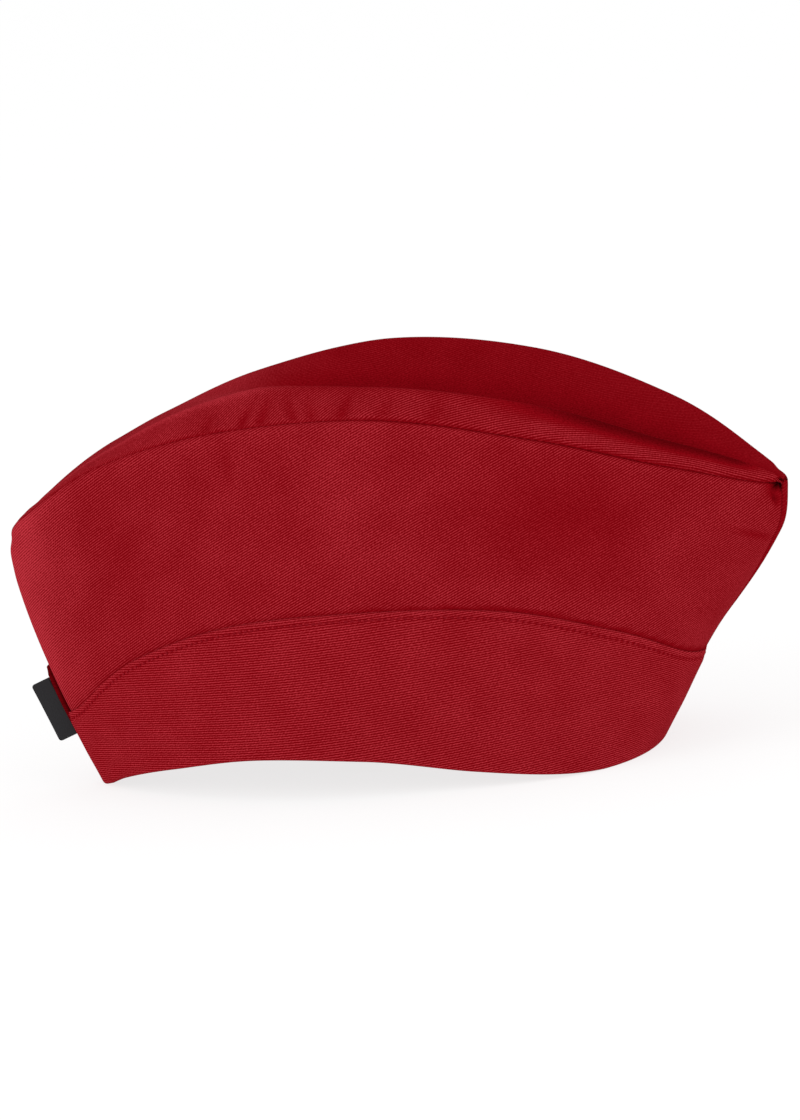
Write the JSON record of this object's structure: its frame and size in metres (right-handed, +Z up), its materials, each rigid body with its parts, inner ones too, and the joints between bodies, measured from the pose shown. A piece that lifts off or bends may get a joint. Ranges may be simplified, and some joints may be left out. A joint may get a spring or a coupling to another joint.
{
  "type": "chef garrison cap",
  "caption": "Soft twill garrison cap: side panels, a crown gusset folded along its length, a turned-up cuff and a plain woven tag in the back seam.",
  "frame": {"origin": "centre of the cap's length and width, on the plane that it stands on", "axes": "+X towards the front of the cap, +Y towards the wearer's left, +Z up through the crown"},
  "size_m": [0.3016, 0.144, 0.157],
  "materials": {
    "twill": "dark red cotton twill, matt with a soft sheen at grazing angles",
    "tag": "black woven tape, matt"
  },
  "bodies": {
    "root": {"side_panel_right": "twill", "side_panel_left": "twill", "crown_gusset": "twill", "cuff_right": "twill", "cuff_left": "twill", "seam_tag": "tag"}
  },
  "joints": []
}
